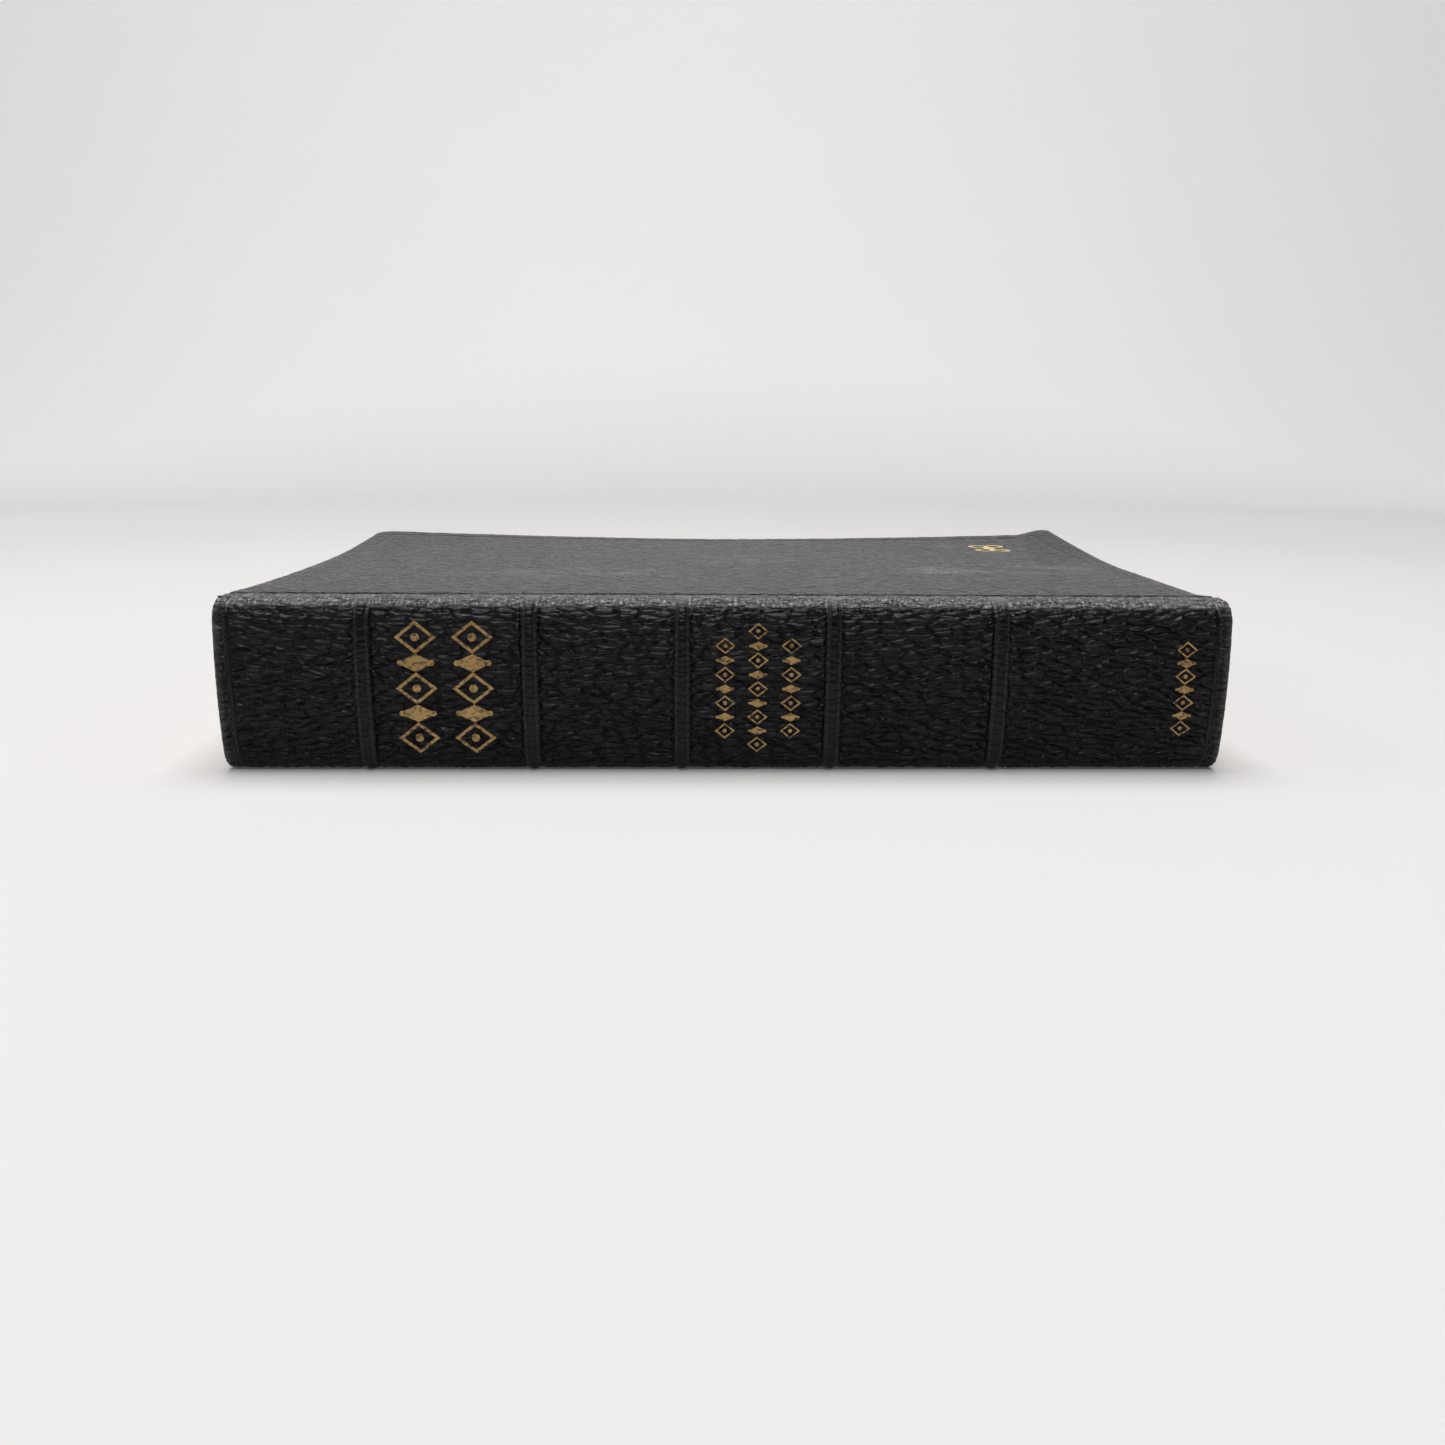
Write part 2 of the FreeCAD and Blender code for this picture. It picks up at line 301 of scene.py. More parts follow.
def wear_and_sheen(x, run):
    """How grey the leather is made, 1 being worn grey: real rubbing, and painted light in the same
    grey, a sheen on the front cover and highlights on the front joint strip and the band edges.
    """
    far = abs(run)
    strip = ease(TOP_RUN - 4.6, TOP_RUN - 3.0, far)
    strip *= 1 - ease(CREASE_RUN - 1.6, CREASE_RUN - 0.4, far)
    # The front joint strip, which faces the lamps, gets real wear and a painted highlight in the
    # same grey.
    worn = (FRONT_STRIP_WEAR_AND_HIGHLIGHT if run > 0 else BACK_STRIP_WEAR) * strip
    off, band_left = band_place(x, far)
    # Painted highlight: thin grey lines along the flanks of each band.
    band_edge_highlight = BAND_EDGE_HIGHLIGHT * line_at(off, 1.1, 0.35) * (0.4 + 0.6 * band_left)
    worn = max(worn * (1 - 0.35 * (off < BAND_HALF)), band_edge_highlight)
    if far < TOP_RUN - 4:
        worn = max(worn, END_WEAR * line_at(abs(x), END_LINE + 0.55, 0.4))
    if far > CREASE_RUN and run > 0:
        y = SHOULDER_Y + far - TOP_RUN
        patchy = 0.5 + 0.75 * noise.fractal(Vector((x * 0.07, y * 0.11, 3.3)), 1.0, 2.0, 4)
        # Painted sheen: a grey tone over all the front cover stands in for its glancing reflection;
        # the patches below are real wear.
        worn = max(worn, COVER_SHEEN_TONE + 0.08 * patchy)
        for centre_x, centre_y, long, wide, most in WORN_PATCHES:
            apart = ((x - centre_x) / long) ** 2 + ((y - centre_y) / wide) ** 2
            worn = max(worn, min(0.9, most * math.exp(-apart) * max(0.2, patchy)))
    return max(worn, RIM_WEAR * (1 - ease(0.3, 2.2, from_rim(x, far))))


def curl(x, y):
    """How far the used front cover lies off flat: it sags beside the block, its corners lift."""
    along = min(1.0, max(0.0, (y - COVER_START_Y) / COVER_WIDTH))
    edge_rise = MIDDLE_CURL + CORNER_CURL * (abs(x) / HALF_HEIGHT) ** 1.6
    rise = edge_rise * max(0.0, (along - 0.60) / 0.40) ** 2.3
    tail_rise = min(TAIL_CURL, 4.6 * max(0.0, (along - 0.48) / 0.52) ** 1.4)
    rise += ease(96, 105.5, x) * max(0.0, tail_rise - rise)
    if x > 0:
        sag = TAIL_SAG * max(0.0, 1 - 1.2 * along)
    else:
        sag = HEAD_SAG * math.sin(math.pi * min(1.0, along / 0.82))
    return (rise - sag * ease(98.5, 105, abs(x))) * ease(0.03, 0.12, along)


def round_corner(x, y, radius, half, fore):
    """Eases a square fore-edge corner of a sheet into a round one."""
    u = max(0.0, (abs(x) - (half - radius)) / radius)
    v = max(0.0, (y - (fore - radius)) / radius)
    if u > 0 and v > 0:
        x = math.copysign(half - radius + radius * u * math.sqrt(1 - v * v / 2), x)
        y = fore - radius + radius * v * math.sqrt(1 - u * u / 2)
    return x, y


def case_place(x, run, lift=0.0, grained=1.0):
    """A point of the case leather in metres, lift millimetres over its relief.

    With grained at 0 the lift is over the plain surface."""
    place, outward = round_back(run)
    x_round, y = x, place.y
    if abs(run) > TOP_RUN:
        x_round, y = round_corner(x, y, COVER_CORNER, HALF_HEIGHT, FORE_EDGE_Y)
    point = Vector((x_round, y, place.z)) + outward * (relief(x, run) * grained + lift)
    if run > TOP_RUN:
        point.z += curl(x_round, y)
    return point * MM


# ---------------------------------------------------------------------------
# Materials
# ---------------------------------------------------------------------------
def new_material(name, colour, roughness, **shader_values):
    material = bpy.data.materials.new(name)
    material.use_nodes = True
    shader = material.node_tree.nodes["Principled BSDF"]
    shader.inputs["Base Color"].default_value = (*colour, 1)
    shader.inputs["Roughness"].default_value = roughness
    for key, value in shader_values.items():
        shader.inputs[key.replace("_", " ")].default_value = value
    return material, material.node_tree, shader


def add(tree, kind, inputs=None, **settings):
    made = tree.nodes.new(kind)
    for key, value in settings.items():
        setattr(made, key, value)
    for key, value in (inputs or {}).items():
        if isinstance(value, bpy.types.NodeSocket):
            tree.links.new(value, made.inputs[key])
        else:
            made.inputs[key].default_value = value
    return made


def lead_in(tree, shader, **patterns):
    """Leads patterns into the shader's sockets."""
    for key, pattern in patterns.items():
        tree.links.new(pattern, shader.inputs[key.replace("_", " ")])


def attribute(tree, name, output="Fac"):
    return add(tree, "ShaderNodeAttribute", attribute_name=name).outputs[output]


def scaled(tree, vector, scale):
    return add(tree, "ShaderNodeMapping", {"Vector": vector, "Scale": scale}).outputs[0]


def lay_of(tree, scale=(1, 1, 1)):
    """Where a spot was on the leather while it lay flat, in millimetres."""
    return scaled(tree, attribute(tree, "leather_lay", "Vector"), scale)


def object_place(tree, scale=(1000, 1000, 1000)):
    """Where a spot is on the piece: in millimetres, unless the scale is another."""
    return scaled(tree, add(tree, "ShaderNodeTexCoord").outputs["Object"], scale)


def noisy(tree, vector, scale, detail=3.0, rough=0.55):
    inputs = {"Vector": vector, "Scale": scale, "Detail": detail, "Roughness": rough}
    return add(tree, "ShaderNodeTexNoise", inputs).outputs[0]


def cells(tree, vector, scale, feature="DISTANCE_TO_EDGE"):
    inputs = {"Vector": vector, "Scale": scale}
    return add(tree, "ShaderNodeTexVoronoi", inputs, feature=feature).outputs["Distance"]


def yarns(tree, vector, scale, direction):
    inputs = {"Vector": vector, "Scale": scale, "Distortion": 0.6}
    return add(tree, "ShaderNodeTexWave", inputs, bands_direction=direction).outputs["Fac"]


def ramp(tree, source, *stops):
    made = add(tree, "ShaderNodeValToRGB", {"Fac": source})
    elements = made.color_ramp.elements
    while len(elements) < len(stops):
        elements.new(0.5)
    for element, (position, value) in zip(elements, stops):
        element.position = position
        element.color = (value, value, value, 1)
    return made.outputs[0]


def math_node(tree, operation, a, b):
    return add(tree, "ShaderNodeMath", {0: a, 1: b}, operation=operation).outputs[0]


def times(tree, product, *factors):
    for factor in factors:
        product = math_node(tree, "MULTIPLY", product, factor)
    return product


def mix(tree, factor, a, b):
    made = add(tree, "ShaderNodeMix", data_type="RGBA")
    for index, value in ((0, factor), (6, a), (7, b)):
        if isinstance(value, bpy.types.NodeSocket):
            tree.links.new(value, made.inputs[index])
        elif index:
            made.inputs[index].default_value = (*value, 1)
        else:
            made.inputs[index].default_value = value
    return made.outputs[2]


def bump(tree, height, depth_mm, strength=1.0, under=None):
    inputs = {"Height": height, "Strength": strength, "Distance": depth_mm * MM}
    if under is not None:
        inputs["Normal"] = under
    return add(tree, "ShaderNodeBump", inputs).outputs[0]


def black_grained_leather():
    """Long pillows of grain with painted shade in the creases between, smoothed by the tools and
    rubbed grey; the tooled leather gets a painted shade, and the grey also paints a sheen and
    highlights.
    """
    full_dye, thin_dye = (0.0026, 0.0030, 0.0054), (0.0072, 0.0077, 0.0106)
    pressed_and_shaded, painted_crease_shade = (0.0012, 0.0014, 0.0022), (0.0006, 0.0007, 0.0010)
    worn_grey_and_sheen, bare_fibre = (0.150, 0.150, 0.158), (0.44, 0.435, 0.42)
    material, tree, shader = new_material("black_grained_leather", (0.006, 0.0065, 0.0085), 0.4,
                                          Specular_IOR_Level=0.20)
    lay = lay_of(tree)
    long_lay = lay_of(tree, (0.32, 1.0, 1.0))
    wander = add(tree, "ShaderNodeTexNoise", {"Vector": long_lay, "Scale": 0.5, "Detail": 2.0})
    moved = add(tree, "ShaderNodeVectorMath", {0: long_lay, 1: wander.outputs["Color"]},
                operation="ADD").outputs[0]
    dome = ramp(tree, cells(tree, moved, 0.74), (0.0, 0.0), (0.10, 0.50), (0.25, 0.86), (0.5, 1.0))
    seed = ramp(tree, cells(tree, moved, 1.7), (0.0, 0.0), (0.12, 0.6), (0.4, 1.0))
    pores = noisy(tree, lay, 5.5, 4.0, 0.65)
    cloud = noisy(tree, lay, 0.06, 3.0)
    mottle = ramp(tree, noisy(tree, long_lay, 0.30, 5.0, 0.7), (0.34, 0.35), (0.66, 1.0))
    crumbs = noisy(tree, lay_of(tree, (1.2, 0.6, 1.0)), 1.3, 6.0, 0.8)
    crumbs = ramp(tree, crumbs, (0.51, 0.0), (0.56, 1.0))
    wear_and_sheen_fac = attribute(tree, "wear_and_sheen")
    tool = attribute(tree, "tooling")
    rough_left = math_node(tree, "SUBTRACT", 1.0, tool)
    colour = mix(tree, cloud, full_dye, thin_dye)
    # Painted shade: where the tools pressed the grain, the band cores most, the leather is coloured
    # darker.
    colour = mix(tree, times(tree, tool, 0.5), colour, pressed_and_shaded)
    # Painted shade: the creases between the pebbles are coloured near-black, but not where the
    # tools pressed the grain flat.
    colour = mix(tree, math_node(tree, "MAXIMUM", dome, tool), painted_crease_shade, colour)
    # The worn grey is real wear and painted light together: a painted sheen on the front cover and
    # painted highlights on the front joint strip and the band edges.
    colour = mix(tree, times(tree, wear_and_sheen_fac, mottle, 0.9), colour, worn_grey_and_sheen)
    colour = mix(tree, times(tree, wear_and_sheen_fac, wear_and_sheen_fac, crumbs, 0.95), colour, bare_fibre)
    dull = math_node(tree, "ADD", times(tree, pores, 0.16), 0.20)
    dull = math_node(tree, "ADD", dull, times(tree, wear_and_sheen_fac, 0.12))
    surface = bump(tree, times(tree, dome, rough_left), 0.66, 1.0)
    surface = bump(tree, times(tree, seed, rough_left), 0.08, 0.8, surface)
    surface = bump(tree, pores, 0.03, 0.5, surface)
    lead_in(tree, shader, Base_Color=colour, Roughness=dull, Normal=surface)
    return material


def band_core_leather():
    """Plain leather for the cores of the bands, grained on object coordinates."""
    tan = (0.14, 0.07, 0.035)
    dark, light = [tuple(c * part for c in tan) for part in (0.6, 1.3)]
    material, tree, shader = new_material("band_core_leather", tan, 0.7)
    grain = cells(tree, object_place(tree), 1.1, "F1")
    lead_in(tree, shader, Base_Color=mix(tree, grain, dark, light),
            Normal=bump(tree, grain, 0.08, 0.7))
    return material


def page_edges():
    """Thin bible paper: plain faces, and on the cut edges rubbed gilding with a line a leaf."""
    dark_gilt, light_gilt = (0.36, 0.21, 0.06), (0.80, 0.58, 0.25)
    dark_edge, light_edge = (0.50, 0.42, 0.30), (0.78, 0.70, 0.55)
    material, tree, shader = new_material("gilt_page_edges", (0.8, 0.76, 0.66), 0.5)
    place = object_place(tree)
    leaves = noisy(tree, object_place(tree, (25, 25, 6500)), 1.0, 3.0, 0.7)
    speck = noisy(tree, object_place(tree, (600, 600, 2600)), 1.0, 4.0, 0.7)
    fade = noisy(tree, place, 0.035, 4.0, 0.6)
    lost = math_node(tree, "ADD", times(tree, speck, 0.6), fade)
    lost = ramp(tree, lost, (0.86, 0.0), (1.0, 1.0))
    worn = times(tree, lost, 0.75)
    gilt = mix(tree, leaves, dark_gilt, light_gilt)
    edge = mix(tree, worn, gilt, mix(tree, leaves, dark_edge, light_edge))
    facing = add(tree, "ShaderNodeTexCoord").outputs["Normal"]
    level = add(tree, "ShaderNodeSeparateXYZ", {0: facing}).outputs["Z"]
    flat = ramp(tree, math_node(tree, "ABSOLUTE", level, 0.0), (0.80, 0.0), (0.95, 1.0))
    fibre = noisy(tree, place, 0.8, 5.0, 0.7)
    paper = mix(tree, fibre, (0.74, 0.70, 0.60), (0.84, 0.81, 0.73))
    metal = times(tree, math_node(tree, "SUBTRACT", 1.0, flat),
                  math_node(tree, "SUBTRACT", 0.85, worn))
    lead_in(tree, shader, Base_Color=mix(tree, flat, edge, paper), Metallic=metal,
            Roughness=ramp(tree, flat, (0.0, 0.38), (1.0, 0.75)),
            Normal=bump(tree, leaves, 0.05, 0.5))
    return material


def thin_paper():
    material, tree, shader = new_material("thin_bible_paper", (0.82, 0.78, 0.69), 0.7)
    place = object_place(tree)
    tone = mix(tree, noisy(tree, place, 1.1, 6.0, 0.7), (0.72, 0.68, 0.57), (0.86, 0.83, 0.75))
    mottle = times(tree, noisy(tree, place, 0.05, 3.0), 0.4)
    lead_in(tree, shader, Base_Color=mix(tree, mottle, tone, (0.78, 0.72, 0.58)),
            Normal=bump(tree, noisy(tree, place, 0.08, 2.0), 0.25, 0.6))
    return material


def coated_black_paper():
    material, tree, shader = new_material("black_coated_endpaper", (0.014, 0.014, 0.016), 0.5,
                                          Specular_IOR_Level=0.4)
    watered = add(tree, "ShaderNodeTexWave", {
        "Vector": object_place(tree, (1000, 300, 1000)), "Scale": 0.35,
        "Distortion": 9.0, "Detail": 3.0, "Detail Scale": 0.6}).outputs["Fac"]
    fibre = noisy(tree, object_place(tree), 2.5, 4.0, 0.7)
    lead_in(tree, shader,
            Base_Color=mix(tree, watered, (0.010, 0.010, 0.012), (0.024, 0.024, 0.027)),
            Roughness=ramp(tree, watered, (0.0, 0.38), (1.0, 0.62)),
            Normal=bump(tree, fibre, 0.02, 0.6))
    return material


def millboard():
    material, tree, shader = new_material("grey_millboard", (0.30, 0.27, 0.22), 0.85)
    fibre = noisy(tree, object_place(tree), 0.9, 6.0, 0.8)
    lead_in(tree, shader, Base_Color=mix(tree, fibre, (0.20, 0.18, 0.15), (0.42, 0.38, 0.31)),
            Normal=bump(tree, fibre, 0.08, 0.7))
    return material


def woven(name, dark, light, pitch, depth):
    """Open cloth or thread: two crossing sets of yarns."""
    material, tree, shader = new_material(name, light, 0.85)
    place = object_place(tree)
    warp = yarns(tree, place, 0.314 / pitch, "X")
    weft = yarns(tree, place, 0.314 / pitch, "Z")
    cloth = math_node(tree, "MAXIMUM", warp, weft)
    lead_in(tree, shader, Base_Color=mix(tree, cloth, dark, light),
            Normal=bump(tree, cloth, depth, 0.8))
    return material


def brown_lining_paper():
    material, tree, shader = new_material("brown_lining_paper", (0.42, 0.31, 0.2), 0.8)
    fibre = noisy(tree, object_place(tree, (300, 1000, 1000)), 1.2, 5.0, 0.7)
    lead_in(tree, shader, Base_Color=mix(tree, fibre, (0.33, 0.24, 0.15), (0.50, 0.38, 0.25)),
            Normal=bump(tree, fibre, 0.04, 0.6))
    return material


def worked_silk():
    """Head band silk: two colours worked in turn round the core, by the thread attribute."""
    material, tree, shader = new_material("worked_silk", (0.4, 0.3, 0.2), 0.45, Sheen_Weight=0.4)
    strand = noisy(tree, object_place(tree), 6.0, 3.0, 0.6)
    gold = mix(tree, strand, (0.50, 0.34, 0.12), (0.74, 0.56, 0.26))
    dark = mix(tree, strand, (0.015, 0.015, 0.018), (0.05, 0.045, 0.045))
    lead_in(tree, shader, Base_Color=mix(tree, attribute(tree, "thread_turn"), dark, gold),
            Normal=bump(tree, strand, 0.04, 0.7))
    return material


def gold_leaf(name, dull, bright, rubbed_from):
    """Gold tooling: leaf on black leather, rubbed through where the grain stood up."""
    rubbed_through = (0.045, 0.030, 0.016)
    material, tree, shader = new_material(name, (0.42, 0.27, 0.09), 0.5)
    rub = noisy(tree, object_place(tree, (700, 1000, 1000)), 1.3, 5.0, 0.7)
    gold = mix(tree, noisy(tree, object_place(tree), 0.5, 3.0), dull, bright)
    gone = ramp(tree, rub, (rubbed_from, 0.0), (rubbed_from + 0.1, 1.0))
    lead_in(tree, shader, Base_Color=mix(tree, gone, gold, rubbed_through),
            Metallic=ramp(tree, gone, (0.0, 0.55), (1.0, 0.0)),
            Roughness=ramp(tree, rub, (0.3, 0.36), (0.7, 0.6)),
            Normal=bump(tree, rub, 0.05, 0.7))
    return material


LEATHER = black_grained_leather()
GOLD = gold_leaf("rubbed_gold_leaf", (0.28, 0.16, 0.052), (0.56, 0.37, 0.14), 0.50)
BRIGHT_GOLD = gold_leaf("bright_gold_leaf", (0.62, 0.46, 0.17), (0.85, 0.70, 0.33), 0.60)
SILK = worked_silk()
PAGES = page_edges()
LEAF_PAPER = thin_paper()
ENDPAPER = coated_black_paper()
BOARD = millboard()


# ---------------------------------------------------------------------------
# The leather of the case: one sheet over the back and one over each cover
# ---------------------------------------------------------------------------
def grid_sheet(name, across, along):
    """A flat grid with a column for each place across and a row for each place along.

    Gives the sheet, and the two places of each of its points."""
    clear_selection()
    bpy.ops.mesh.primitive_grid_add(x_subdivisions=len(across) - 1,
                                    y_subdivisions=len(along) - 1, size=1)
    sheet = bpy.context.object
    sheet.name = sheet.data.name = name
    spots = []
    for vertex in sheet.data.vertices:
        column = round((vertex.co.x + 0.5) * (len(across) - 1))
        row = round((vertex.co.y + 0.5) * (len(along) - 1))
        spots.append((across[column], along[row]))
    return sheet, spots


def mark_points(mesh, name, numbers):
    """Keeps a number with every point of a mesh, for its material to read."""
    mesh.attributes.new(name, "FLOAT", "POINT")
    mesh.attributes[name].data.foreach_set("value", numbers)


def mark_lay(mesh, lays):
    """Keeps with every point where it was while the leather lay flat."""
    mesh.attributes.new("leather_lay", "FLOAT_VECTOR", "POINT")
    mesh.attributes["leather_lay"].data.foreach_set("vector", [n for lay in lays for n in lay])


def cover_thickness(x, run):
    """The leather alone in the joint, the whole cover over its rim, and a bed for the pastedown."""
    y = SHOULDER_Y + abs(run) - TOP_RUN
    if y < JOINT_Y - 0.2 and abs(x) < HALF_HEIGHT - 3.3:
        return SPINE_LEATHER
    if abs(x) < HALF_HEIGHT - TURN_IN - 0.4 and y < FORE_EDGE_Y - TURN_IN - 0.4:
        return COVER_THICKNESS - PASTEDOWN + 0.02
    return COVER_THICKNESS


def is_free_rim(edge, outer):
    """True on both edges of a cover's rim, but for the row that meets the leather of the spine.

    Points numbered below outer are on the outer face of the cover."""
    if len({v.index < outer for v in edge.verts}) != 1:
        return False
    beside_wall = any(len({v.index < outer for v in face.verts}) == 2 for face in edge.link_faces)
    return beside_wall and max(v.co.y for v in edge.verts) > (SHOULDER_Y + 0.6) * MM


def cover_leather_sheet(name, across, along):
    """A sheet of grained leather moulded over a cover, given its thickness, its rim rounded."""
    sheet, spots = grid_sheet(name, across, along)
    mesh = sheet.data
    mark_lay(mesh, [(x, run, 0.0) for x, run in spots])
    mark_points(mesh, "wear_and_sheen", [wear_and_sheen(x, run) for x, run in spots])
    mark_points(mesh, "tooling", [tooled(x, run) for x, run in spots])
    thickness = sheet.vertex_groups.new(name="thickness")
    for index, (x, run) in enumerate(spots):
        mesh.vertices[index].co = case_place(x, run)
        thickness.add([index], cover_thickness(x, run) / COVER_THICKNESS, "REPLACE")
    outer = len(mesh.vertices)
    wall = sheet.modifiers.new("wall", "SOLIDIFY")
    wall.thickness = COVER_THICKNESS * MM
    wall.offset = -1
    wall.vertex_group = "thickness"
    finish_modifiers(sheet)
    lays = sheet.data.attributes["leather_lay"].data
    for index in range(outer, len(lays)):
        x, run, _ = lays[index].vector
        depth = cover_thickness(x, run)
        lays[index].vector = (x, run, -depth)
        sheet.data.vertices[index].co = case_place(x, run, -depth, 0.0)
    shell = bmesh.new()
    shell.from_mesh(sheet.data)
    rim = [edge for edge in shell.edges if is_free_rim(edge, outer)]
    bmesh.ops.bevel(shell, geom=rim, offset=RIM_ROUND * MM, segments=3, profile=0.5,
                    affect="EDGES", clamp_overlap=True)
    shell.to_mesh(sheet.data)
    shell.free()
    sheet.data.materials.append(LEATHER)
    return smooth(sheet, 60)


def cap_turn(end):
    """Rows round the head or tail cap: over its crown, in behind the band, back under the spine.

    Each row gives its place along the book, its depth and how much of the relief it keeps."""
    rows = []
    for step in range(7):
        angle = math.pi / 2 * step / 6
        rows.append((HALF_HEIGHT - CAP_ROUND + CAP_ROUND * math.sin(angle),
                     CAP_ROUND - CAP_ROUND * math.cos(angle), 1 - 0.6 * step / 6))
    half = CAP_LEATHER / 2
    for step in range(1, 7):
        angle = math.pi * step / 6
        rows.append((HALF_HEIGHT - half + half * math.cos(angle),
                     CAP_DEPTH - half + half * math.sin(angle), 0.3))
    rows.append((HALF_HEIGHT - CAP_LEATHER, SPINE_LEATHER + 0.2, 0.0))
    rows.append((HALF_HEIGHT - CAP_LEATHER - 0.3, SPINE_LEATHER, 0.0))
    return [(end * x, deep, grain) for x, deep, grain in rows]


def spine_leather_sheet():
    """The leather of the back: a closed skin, grained outside, turned in over both caps."""
    details = [(band, 1.9, 0.21) for band in BANDS] + [(-END_LINE, 0.6, 0.3), (END_LINE, 0.6, 0.3)]
    outside = [(x, 0.0, 1.0) for x in stations(-HALF_HEIGHT, HALF_HEIGHT, BACK_STEP_ACROSS, details)
               if abs(x) < HALF_HEIGHT - CAP_ROUND - 0.15]
    over_bands = [(band, 1.5, 1.0) for band in BANDS]
    inside = [(x, 0.35 if min(abs(x - band) for band in BANDS) < 1.3 else SPINE_LEATHER, 0.0)
              for x in stations(-HALF_HEIGHT + 3, HALF_HEIGHT - 3, 6.0, over_bands)]
    loop = outside + cap_turn(1) + inside[::-1] + cap_turn(-1)[::-1]
    sheet, spots = grid_sheet("spine_leather_skin", loop + loop[:1],
                              stations(-TOP_RUN, TOP_RUN, BACK_STEP))
    lays, worn, pressed_and_shaded = [], [], []
    for vertex, ((x, deep, grain), run) in zip(sheet.data.vertices, spots):
        place, outward = round_back(run)
        height = relief(x, run) * grain - deep
        vertex.co = (Vector((x, place.y, place.z)) + outward * height) * MM
        lays.append((x + math.copysign(max(0.0, deep - 0.2), x), run, -deep * 0.3))
        worn.append(wear_and_sheen(x, run) if grain else 0.0)
        pressed_and_shaded.append(tooled(x, run))
    mark_lay(sheet.data, lays)
    mark_points(sheet.data, "wear_and_sheen", worn)
    mark_points(sheet.data, "tooling", pressed_and_shaded)
    close_shell(sheet)
    sheet.data.materials.append(LEATHER)
    return smooth(sheet, 60)


spine_skin = spine_leather_sheet()
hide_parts("front_spine_leather", "back_spine_leather")
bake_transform(spine_skin)

END_RUN = TOP_RUN + COVER_RUN
cover_lines = [(-HALF_HEIGHT + COVER_LINE, 0.8, 0.3), (HALF_HEIGHT - COVER_LINE, 0.8, 0.3)]
cover_across = stations(-HALF_HEIGHT, HALF_HEIGHT, COVER_STEP_ACROSS, cover_lines)
cover_across = [x for x in cover_across if abs(x) == HALF_HEIGHT or abs(x) < HALF_HEIGHT - 0.95]
cover_along = stations(TOP_RUN, TOP_RUN + 9.0, JOINT_STEP)
cover_along += stations(TOP_RUN + 9.0, END_RUN, COVER_STEP, [(END_RUN - COVER_LINE, 0.8, 0.3)])[1:]
cover_along = [run for run in cover_along if run == END_RUN or run < END_RUN - 0.95]

front_skin = cover_leather_sheet("front_cover_skin", cover_across, cover_along)
back_skin = cover_leather_sheet("back_cover_skin", cover_across,
                                [-run for run in reversed(cover_along)])
for skin, side, level in ((front_skin, "front", THICKNESS), (back_skin, "back", 0.0)):
    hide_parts(side + "_cover_leather")
    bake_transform(skin)


# ---------------------------------------------------------------------------
# Boards and pastedowns, which curl with the front cover
# ---------------------------------------------------------------------------
def flat_piece(name, half, near, fore, bottom, top, corner, material, curled=False, rim=None):
    """A flat sheet or board, its fore-edge corners rounded, curled with the front cover.

    The rim is the material of its cut edges, where that is another."""
    across = stations(-half, half, 4.0, [(-half + 2, 2, 1.0), (half - 2, 2, 1.0)])
    along = stations(near, fore, 4.0, [(fore - 2, 2, 1.0), (near + 2.5, 2.5, 0.5)])
    sheet, spots = grid_sheet(name, across, along)
    for vertex, (x, y) in zip(sheet.data.vertices, spots):
        x, y = round_corner(x, y, corner, half, fore)
        vertex.co = Vector((x, y, top + (curl(x, y) if curled else 0))) * MM
    sheet.data.materials.append(material)
    wall = sheet.modifiers.new("wall", "SOLIDIFY")
    wall.thickness = (top - bottom) * MM
    wall.offset = -1
    if rim:
        sheet.data.materials.append(rim)
        wall.material_offset_rim = 1
    finish_modifiers(sheet)
    return smooth(sheet, 40)


front_board = flat_piece("front_board_curled", 104.0, -59.75, 70.25, 34.35, 35.5, 4.0, BOARD,
                         curled=True)
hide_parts("front_cover_board")
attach(front_board, "front_cover")
for side, bottom, level in (("front", 34.0, THICKNESS), ("back", 2.0, 0.0)):
    paper = flat_piece(side + "_pastedown_sheet", 93.0, -63.6, 59.25, bottom, bottom + PASTEDOWN,
                       2.0, ENDPAPER, curled=side == "front")
    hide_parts(side + "_pastedown")
    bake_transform(paper)


# ---------------------------------------------------------------------------
# Leaves at the opening
# ---------------------------------------------------------------------------
HALF_LEAF = 0.13
for number in range(1, 5):
    low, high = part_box("turning_leaf_%d" % number)
    middle = (low.z + high.z) / 2 / MM
    leaf = flat_piece("loose_leaf_%d" % number, 101.5, -68.6, 65.25, middle - HALF_LEAF,
                      middle + HALF_LEAF, PAGE_CORNER, LEAF_PAPER, rim=PAGES)
    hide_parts("turning_leaf_%d" % number)
    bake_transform(leaf)


# ---------------------------------------------------------------------------
# Head and tail bands: silk worked in two colours round a core
# ---------------------------------------------------------------------------
SILK_TURNS = 26
ROWS_IN_TURN = 6
SILK_SIDES = 12
SILK_DEPTH = 2.25
SILK_END = 102.75


